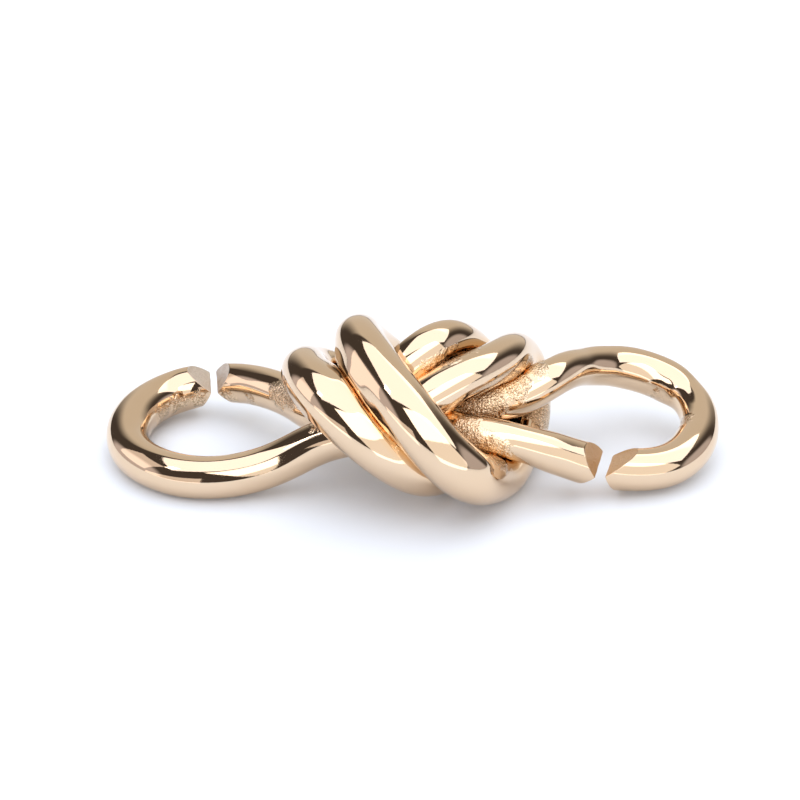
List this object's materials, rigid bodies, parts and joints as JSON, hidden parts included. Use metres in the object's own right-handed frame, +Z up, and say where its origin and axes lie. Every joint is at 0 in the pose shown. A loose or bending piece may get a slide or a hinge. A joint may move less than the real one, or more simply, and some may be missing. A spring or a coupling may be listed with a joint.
{
  "type": "knotted link sculpture",
  "caption": "Round metal bar doubled and tied in an overhand knot, its end loops cut through to chisel points; a small free-standing table sculpture.",
  "frame": {"origin": "middle of the footprint, on the table", "axes": "+X along the sculpture towards its right-hand loop, -Y towards the viewer of the picture, +Z up"},
  "size_m": [0.1472, 0.069, 0.0399],
  "materials": {
    "polished_bronze": "mirror-polished bronze with a cast skin left in the grooves between the strands"
  },
  "bodies": {
    "root": {"looped_bar": "polished_bronze", "tailed_bar": "polished_bronze"}
  },
  "joints": []
}
